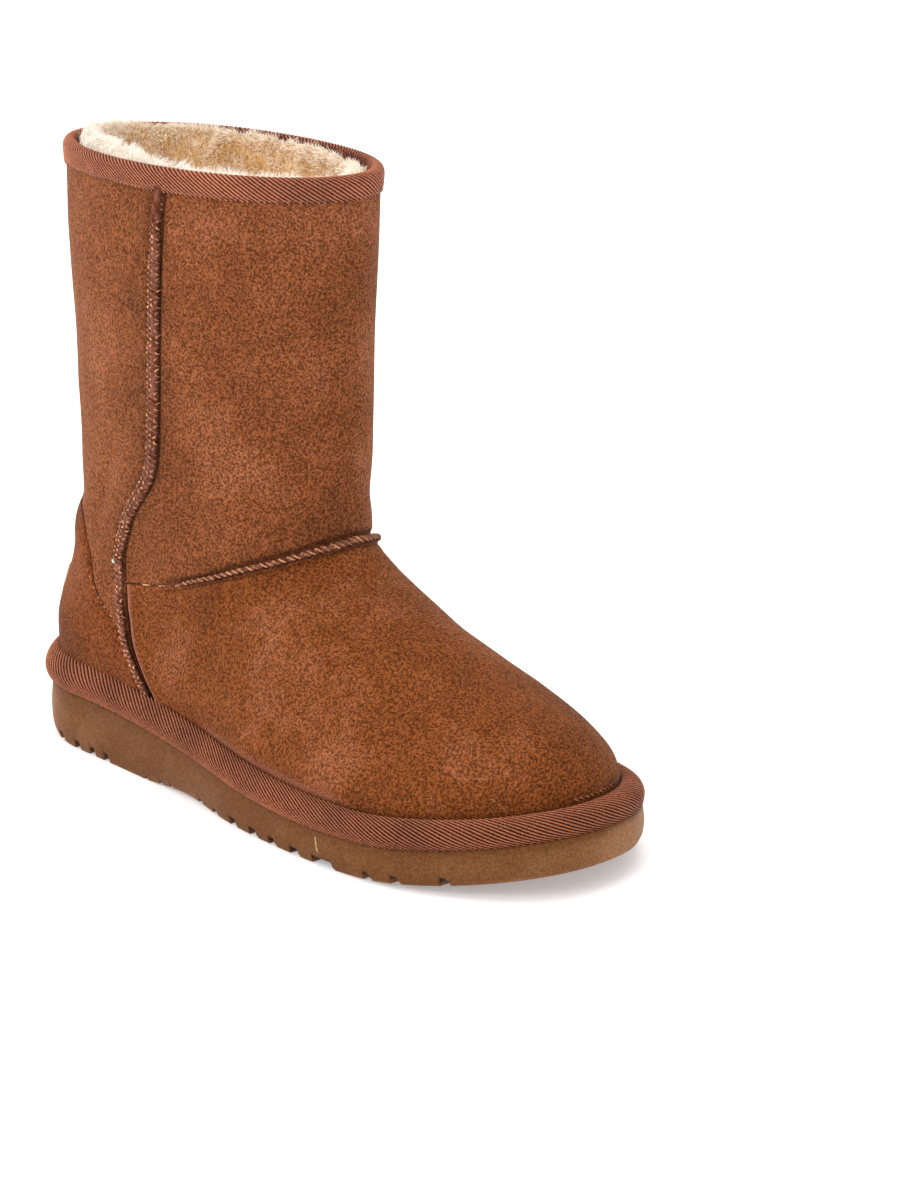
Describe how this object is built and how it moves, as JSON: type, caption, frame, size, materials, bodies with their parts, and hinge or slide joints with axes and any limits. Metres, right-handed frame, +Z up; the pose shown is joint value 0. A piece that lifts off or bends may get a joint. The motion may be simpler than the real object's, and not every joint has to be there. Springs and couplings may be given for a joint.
{
  "type": "sheepskin boot",
  "caption": "Ankle-high pull-on sheepskin boot in chestnut suede, with a straight open shaft, taped collar and sole edge, raised seams and a light moulded sole.",
  "frame": {"origin": "on the floor under the middle of the heel, on the tread lug there", "axes": "+X from heel to toe, +Y to the wearer's left (inner side of this right boot), +Z up"},
  "size_m": [0.2924, 0.1164, 0.2386],
  "materials": {
    "outsole": "matte moulded taupe-brown foam rubber",
    "insole": "sheepskin pile, cream and tan",
    "upper": "napped chestnut suede",
    "sole_binding": "woven twill tape, rose-brown",
    "collar_binding": "woven twill tape, rose-brown",
    "heel_counter": "napped chestnut suede, a little darker",
    "heel_patch": "smooth pale tan leather, bare",
    "seam_outer": "suede edge with pale whip stitches",
    "seam_inner": "suede edge with pale whip stitches",
    "seam_back": "suede edge with pale whip stitches",
    "seam_vamp": "suede edge with pale whip stitches"
  },
  "bodies": {
    "root": {"outsole": "outsole", "insole": "insole", "upper": "upper", "sole_binding": "sole_binding", "collar_binding": "collar_binding", "heel_counter": "heel_counter", "heel_patch": "heel_patch", "seam_outer": "seam_outer", "seam_inner": "seam_inner", "seam_back": "seam_back", "seam_vamp": "seam_vamp"}
  },
  "joints": []
}
